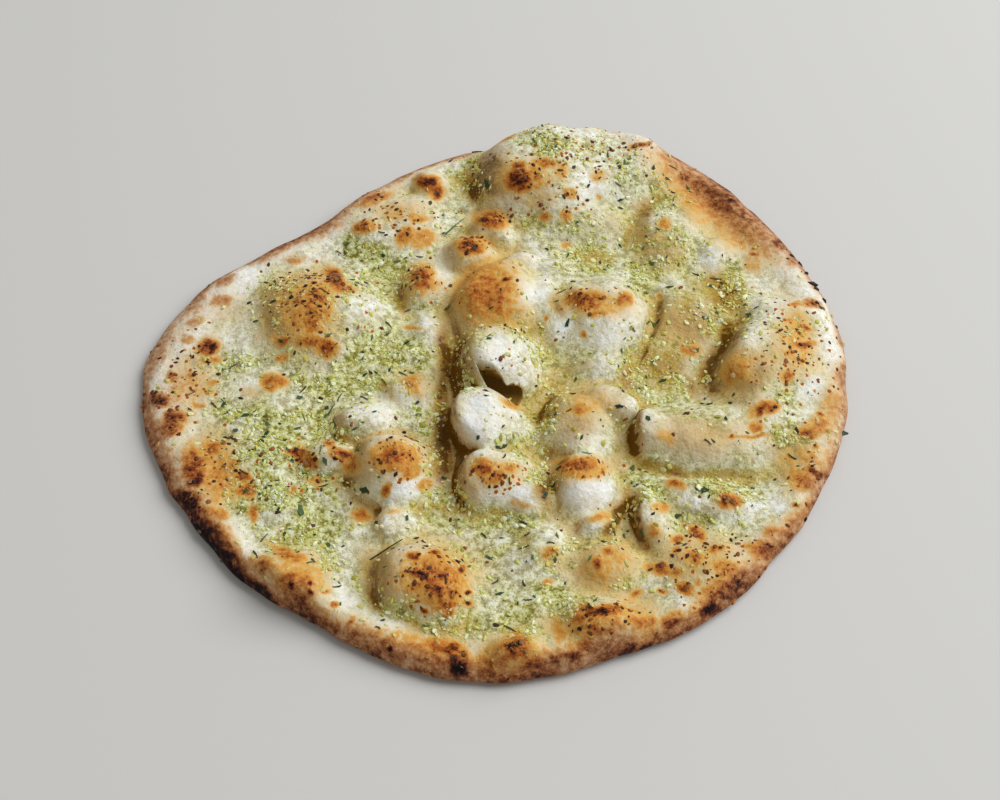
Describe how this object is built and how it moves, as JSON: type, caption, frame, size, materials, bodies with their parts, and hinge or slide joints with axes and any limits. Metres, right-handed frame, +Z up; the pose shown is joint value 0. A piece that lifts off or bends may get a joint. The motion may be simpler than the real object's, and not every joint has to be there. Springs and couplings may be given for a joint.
{
  "type": "garlic cilantro naan",
  "caption": "Large hand-stretched flatbread, blistered and browned, with a raised rim, a torn bubble, and minced garlic and cilantro baked onto its top.",
  "frame": {"origin": "centre of the bounding box of the bread on the surface it lies on, at the flat underside", "axes": "+Z up out of the bread's top, -Y towards the front edge in the picture, +X to the right in the picture"},
  "size_m": [0.3702, 0.3536, 0.0305],
  "materials": {
    "bread": "matte"
  },
  "bodies": {
    "root": {"naan": "bread"}
  },
  "joints": []
}
